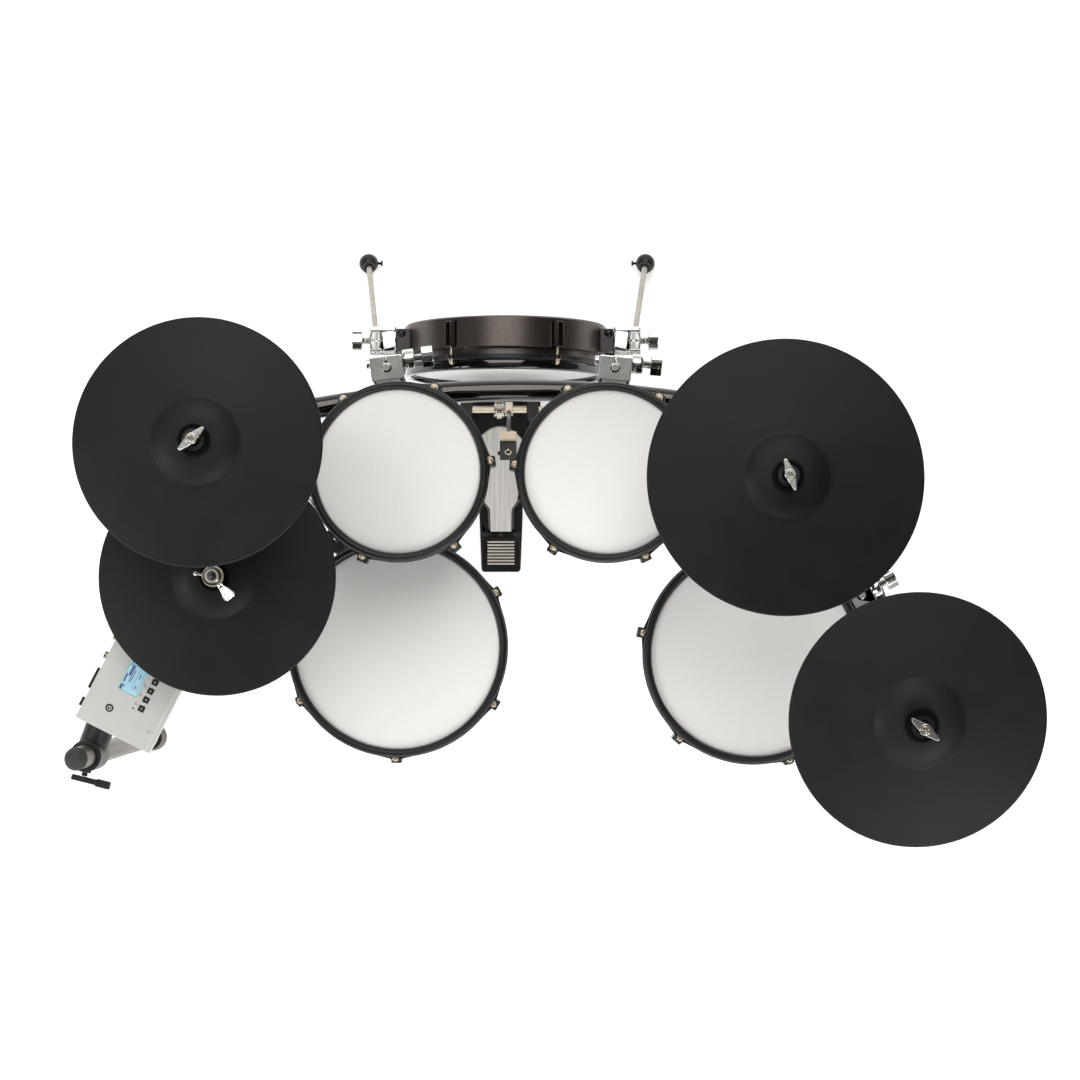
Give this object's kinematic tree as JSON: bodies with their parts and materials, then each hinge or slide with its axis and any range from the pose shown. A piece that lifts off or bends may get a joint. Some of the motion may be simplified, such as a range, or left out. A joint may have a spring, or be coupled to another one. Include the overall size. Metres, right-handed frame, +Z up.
{
  "type": "electronic drum kit",
  "caption": "Electronic drum kit on a tube rack: mesh-head pads, rubber cymbals, a kick with pedal and spurs, a hi-hat on a stand and a sound module.",
  "frame": {"origin": "on the floor under the middle of the kit's box", "axes": "+X to the drummer's right, +Y away from the drummer, +Z up"},
  "size_m": [1.441, 0.9934, 1.307],
  "materials": {
    "posts": "matte silver",
    "post_feet": "matte grey",
    "post_fittings": "satin black",
    "rack_bars": "gloss black",
    "rack_clamps": "satin black",
    "drum_rods": "polished",
    "cymbal_arms": "polished",
    "kick_shell": "dark satin wrap",
    "kick_head": "white mesh",
    "kick_hoop": "satin black",
    "kick_rods": "polished",
    "kick_trigger": "foam on bar",
    "spur_mounts": "satin black",
    "pedal_frame": "satin black",
    "pedal_spring": "nickel",
    "hihat_stand": "polished",
    "module_mount": "satin black",
    "tom_left_shell": "dark satin wrap",
    "tom_left_head": "white mesh",
    "tom_left_hoop": "satin black",
    "tom_left_fittings": "polished",
    "tom_left_trigger": "foam on bar",
    "tom_right_shell": "dark satin wrap",
    "tom_right_head": "white mesh",
    "tom_right_hoop": "satin black",
    "tom_right_fittings": "polished",
    "tom_right_trigger": "foam on bar",
    "snare_shell": "dark satin wrap",
    "snare_head": "white mesh",
    "snare_hoop": "satin black",
    "snare_fittings": "polished",
    "snare_trigger": "foam on bar",
    "floor_tom_shell": "dark satin wrap",
    "floor_tom_head": "white mesh",
    "floor_tom_hoop": "satin black",
    "floor_tom_fittings": "polished",
    "floor_tom_trigger": "foam on bar",
    "crash_left_pad": "matte black",
    "crash_left_nut": "die cast",
    "ride_pad": "matte black",
    "ride_nut": "die cast",
    "crash_right_pad": "matte black",
    "crash_right_nut": "die cast",
    "spur_left": "polished",
    "spur_right": "polished",
    "pedal_footboard": "brushed",
    "pedal_chain": "nickel",
    "pedal_axle": "nickel",
    "pedal_beater": "black with beige felt",
    "hihat_footboard": "brushed",
    "hihat_rod": "polished",
    "hihat_pad": "matte black",
    "module_case": "light grey",
    "module_display": "lit blue",
    "power_button": "satin black",
    "function_button_1": "satin black",
    "function_button_2": "satin black",
    "function_button_3": "satin black",
    "function_button_4": "satin black",
    "function_button_5": "satin black"
  },
  "bodies": {
    "rack": {"posts": "posts", "post_feet": "post_feet", "post_fittings": "post_fittings", "rack_bars": "rack_bars", "rack_clamps": "rack_clamps", "drum_rods": "drum_rods", "cymbal_arms": "cymbal_arms", "kick_shell": "kick_shell", "kick_head": "kick_head", "kick_hoop": "kick_hoop", "kick_rods": "kick_rods", "kick_trigger": "kick_trigger", "spur_mounts": "spur_mounts", "pedal_frame": "pedal_frame", "pedal_spring": "pedal_spring", "hihat_stand": "hihat_stand", "module_mount": "module_mount"},
    "tom_left": {"tom_left_shell": "tom_left_shell", "tom_left_head": "tom_left_head", "tom_left_hoop": "tom_left_hoop", "tom_left_fittings": "tom_left_fittings", "tom_left_trigger": "tom_left_trigger"},
    "tom_right": {"tom_right_shell": "tom_right_shell", "tom_right_head": "tom_right_head", "tom_right_hoop": "tom_right_hoop", "tom_right_fittings": "tom_right_fittings", "tom_right_trigger": "tom_right_trigger"},
    "snare": {"snare_shell": "snare_shell", "snare_head": "snare_head", "snare_hoop": "snare_hoop", "snare_fittings": "snare_fittings", "snare_trigger": "snare_trigger"},
    "floor_tom": {"floor_tom_shell": "floor_tom_shell", "floor_tom_head": "floor_tom_head", "floor_tom_hoop": "floor_tom_hoop", "floor_tom_fittings": "floor_tom_fittings", "floor_tom_trigger": "floor_tom_trigger"},
    "crash_left_pad": {"crash_left_pad": "crash_left_pad"},
    "crash_left_nut": {"crash_left_nut": "crash_left_nut"},
    "ride_pad": {"ride_pad": "ride_pad"},
    "ride_nut": {"ride_nut": "ride_nut"},
    "crash_right_pad": {"crash_right_pad": "crash_right_pad"},
    "crash_right_nut": {"crash_right_nut": "crash_right_nut"},
    "spur_left": {"spur_left": "spur_left"},
    "spur_right": {"spur_right": "spur_right"},
    "pedal_board": {"pedal_footboard": "pedal_footboard", "pedal_chain": "pedal_chain"},
    "pedal_axle": {"pedal_axle": "pedal_axle", "pedal_beater": "pedal_beater"},
    "hihat_board": {"hihat_footboard": "hihat_footboard"},
    "hihat_top": {"hihat_rod": "hihat_rod", "hihat_pad": "hihat_pad"},
    "module": {"module_case": "module_case", "module_display": "module_display"},
    "power_button": {"power_button": "power_button"},
    "function_button_1": {"function_button_1": "function_button_1"},
    "function_button_2": {"function_button_2": "function_button_2"},
    "function_button_3": {"function_button_3": "function_button_3"},
    "function_button_4": {"function_button_4": "function_button_4"},
    "function_button_5": {"function_button_5": "function_button_5"}
  },
  "joints": [
    {"name": "tom_left_swivel", "type": "hinge", "parent": "rack", "child": "tom_left", "pos_m": [-0.2154, 0.21097, 0.806], "axis": [0, 0, 1], "range_deg": [-12, 1]},
    {"name": "tom_right_swivel", "type": "hinge", "parent": "rack", "child": "tom_right", "pos_m": [0.14109, 0.21057, 0.806], "axis": [0, 0, 1], "range_deg": [-1, 12]},
    {"name": "snare_swivel", "type": "hinge", "parent": "rack", "child": "snare", "pos_m": [-0.30471, -0.04725, 0.614], "axis": [0, 0, 1], "range_deg": [-10, 10]},
    {"name": "floor_tom_swivel", "type": "hinge", "parent": "rack", "child": "floor_tom", "pos_m": [0.54694, -0.1415, 0.614], "axis": [0, 0, 1], "range_deg": [-10, 10]},
    {"name": "crash_left_rock", "type": "hinge", "parent": "rack", "child": "crash_left_pad", "pos_m": [-0.46129, 0.06916, 1.165], "axis": [1, 0, 0], "range_deg": [-8, 8], "stiffness_Nm_per_rad": 6},
    {"name": "crash_left_nut_turn", "type": "hinge", "parent": "rack", "child": "crash_left_nut", "pos_m": [-0.46129, 0.06916, 1.165], "axis": [0, 0, 1], "continuous": true},
    {"name": "ride_rock", "type": "hinge", "parent": "rack", "child": "ride_pad", "pos_m": [0.38271, 0.02616, 1.046], "axis": [1, 0, 0], "range_deg": [-8, 8], "stiffness_Nm_per_rad": 6},
    {"name": "ride_nut_turn", "type": "hinge", "parent": "rack", "child": "ride_nut", "pos_m": [0.38271, 0.02616, 1.046], "axis": [0, 0, 1], "continuous": true},
    {"name": "crash_right_rock", "type": "hinge", "parent": "rack", "child": "crash_right_pad", "pos_m": [0.54271, -0.3248, 1.262], "axis": [1, 0, 0], "range_deg": [-8, 8], "stiffness_Nm_per_rad": 6},
    {"name": "crash_right_nut_turn", "type": "hinge", "parent": "rack", "child": "crash_right_nut", "pos_m": [0.54271, -0.3248, 1.262], "axis": [0, -0.1392, 0.9903], "continuous": true},
    {"name": "spur_left_fold", "type": "hinge", "parent": "rack", "child": "spur_left", "pos_m": [-0.23729, 0.3082, 0.264], "axis": [1, 0, 0], "range_deg": [0, 60]},
    {"name": "spur_right_fold", "type": "hinge", "parent": "rack", "child": "spur_right", "pos_m": [0.16271, 0.3082, 0.264], "axis": [1, 0, 0], "range_deg": [0, 60]},
    {"name": "kick_pedal_press", "type": "hinge", "parent": "rack", "child": "pedal_board", "pos_m": [-0.04829, -0.0218, 0.016], "axis": [1, 0, 0], "range_deg": [-4.64, 0], "deforming": ["pedal_chain"]},
    {"name": "beater_swing", "type": "hinge", "parent": "rack", "child": "pedal_axle", "pos_m": [-0.04829, 0.1932, 0.2], "axis": [1, 0, 0], "range_deg": [-50.1, 0], "stiffness_Nm_per_rad": 4, "springref_deg": 20.05, "deforming": ["pedal_spring"]},
    {"name": "hihat_pedal_press", "type": "hinge", "parent": "rack", "child": "hihat_board", "pos_m": [-0.31929, -0.36029, 0.018], "axis": [0.866, 0.5, 0], "range_deg": [-5, 0]},
    {"name": "hihat_rod_slide", "type": "slide", "parent": "rack", "child": "hihat_top", "axis": [0, 0, 1], "range_m": [-0.0209, 0], "stiffness_N_per_m": 900, "springref_m": 0.03},
    {"name": "module_tilt", "type": "hinge", "parent": "rack", "child": "module", "pos_m": [-0.60695, -0.2559, 0.782], "axis": [0.4571, 0.8894, 0], "range_deg": [-15, 20]},
    {"name": "power_button_press", "type": "slide", "parent": "module", "child": "power_button", "axis": [0.093, -0.0478, 0.9945], "range_m": [-0.0012, 0], "stiffness_N_per_m": 350, "springref_m": 0.0006},
    {"name": "function_button_1_press", "type": "slide", "parent": "module", "child": "function_button_1", "axis": [0.093, -0.0478, 0.9945], "range_m": [-0.0012, 0], "stiffness_N_per_m": 350, "springref_m": 0.0006},
    {"name": "function_button_2_press", "type": "slide", "parent": "module", "child": "function_button_2", "axis": [0.093, -0.0478, 0.9945], "range_m": [-0.0012, 0], "stiffness_N_per_m": 350, "springref_m": 0.0006},
    {"name": "function_button_3_press", "type": "slide", "parent": "module", "child": "function_button_3", "axis": [0.093, -0.0478, 0.9945], "range_m": [-0.0012, 0], "stiffness_N_per_m": 350, "springref_m": 0.0006},
    {"name": "function_button_4_press", "type": "slide", "parent": "module", "child": "function_button_4", "axis": [0.093, -0.0478, 0.9945], "range_m": [-0.0012, 0], "stiffness_N_per_m": 350, "springref_m": 0.0006},
    {"name": "function_button_5_press", "type": "slide", "parent": "module", "child": "function_button_5", "axis": [0.093, -0.0478, 0.9945], "range_m": [-0.0012, 0], "stiffness_N_per_m": 350, "springref_m": 0.0006}
  ],
  "couplings": [
    {"joint": "beater_swing", "follows": "kick_pedal_press", "ratio": 10.774},
    {"joint": "hihat_rod_slide", "follows": "hihat_pedal_press", "m_per_rad": 0.237}
  ]
}
